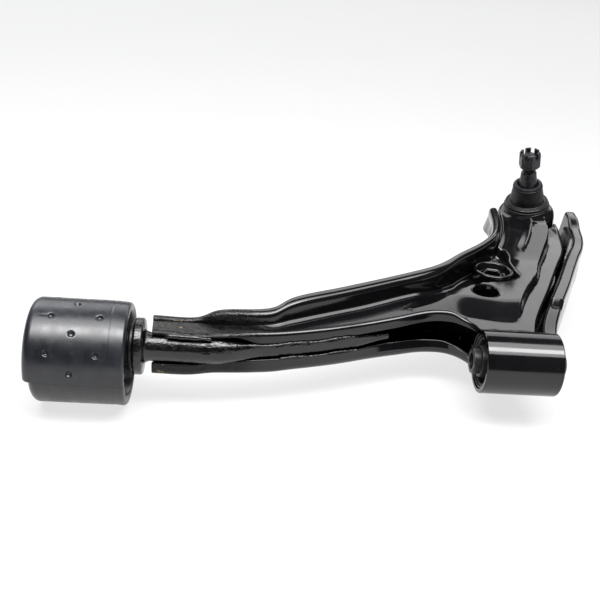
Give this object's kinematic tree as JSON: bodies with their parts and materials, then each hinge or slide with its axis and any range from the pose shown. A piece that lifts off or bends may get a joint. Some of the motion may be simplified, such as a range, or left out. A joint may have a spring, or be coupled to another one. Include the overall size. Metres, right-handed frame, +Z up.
{
  "type": "suspension control arm",
  "caption": "Welded two-piece steel lower control arm with a front tube bushing, a rear pin bushing and an upright ball joint with a rubber boot and castle nut.",
  "frame": {"origin": "centre of the front eye, on its axis", "axes": "+X along the pivot axis to the front of the car, +Y outboard towards the ball joint, +Z up"},
  "size_m": [0.5065, 0.3562, 0.1495],
  "materials": {
    "gloss_black_paint": "gloss black paint over pressed steel",
    "satin_black_steel": "satin black paint over forged steel",
    "phosphated_steel": "dark phosphated steel",
    "black_rubber": "smooth matt black rubber",
    "bushing_rubber": "satin blue-black moulded rubber",
    "bearing_polymer": "plain bearing polymer"
  },
  "bodies": {
    "arm": {"lower_channel": "gloss_black_paint", "cover_plate": "gloss_black_paint", "link_seat": "gloss_black_paint", "front_eye": "gloss_black_paint", "front_bush_shell": "phosphated_steel", "front_bush_rubber": "black_rubber", "weld_eye_upper": "gloss_black_paint", "weld_eye_lower": "gloss_black_paint", "rear_pin": "satin_black_steel", "weld_pin_end": "gloss_black_paint", "weld_pin_upper": "gloss_black_paint", "weld_pin_lower": "gloss_black_paint", "rear_bush_sleeve": "satin_black_steel", "ball_joint_housing": "satin_black_steel", "pressure_plate": "bearing_polymer", "preload_spring": "phosphated_steel", "housing_cap": "phosphated_steel", "dust_boot": "black_rubber", "boot_lower_ring": "phosphated_steel"},
    "rear_bush": {"rear_bush_rubber": "bushing_rubber"},
    "front_sleeve": {"front_bush_sleeve": "phosphated_steel"},
    "ball_cradle": {"ball_seat": "bearing_polymer"},
    "stud_collar": {"boot_upper_ring": "phosphated_steel"},
    "stud": {"ball_stud": "phosphated_steel", "castle_nut": "phosphated_steel"}
  },
  "joints": [
    {"name": "rear_bush_twist", "type": "hinge", "parent": "arm", "child": "rear_bush", "pos_m": [-0.336, -0.0026, -0.0007], "axis": [1, 0, 0], "range_deg": [-25, 25], "stiffness_Nm_per_rad": 60},
    {"name": "front_bush_twist", "type": "hinge", "parent": "arm", "child": "front_sleeve", "pos_m": [0, 0, 0], "axis": [1, 0, 0], "range_deg": [-25, 25], "stiffness_Nm_per_rad": 1},
    {"name": "stud_swing_bump", "type": "hinge", "parent": "arm", "child": "ball_cradle", "pos_m": [0.07841, 0.27631, 0.02015], "axis": [0.984, -0.0366, 0.1744], "range_deg": [-16, 16], "deforming": ["dust_boot"]},
    {"name": "stud_swing_fore_aft", "type": "hinge", "parent": "ball_cradle", "child": "stud_collar", "pos_m": [0.07841, 0.27631, 0.02015], "axis": [0, 0.9787, 0.2055], "range_deg": [-16, 16], "deforming": ["dust_boot"]},
    {"name": "stud_spin", "type": "hinge", "parent": "stud_collar", "child": "stud", "pos_m": [0.07841, 0.27631, 0.02015], "axis": [-0.1782, -0.2022, 0.963], "continuous": true}
  ],
  "couplings": [
    {"joint": "front_bush_twist", "follows": "rear_bush_twist", "ratio": 1}
  ]
}
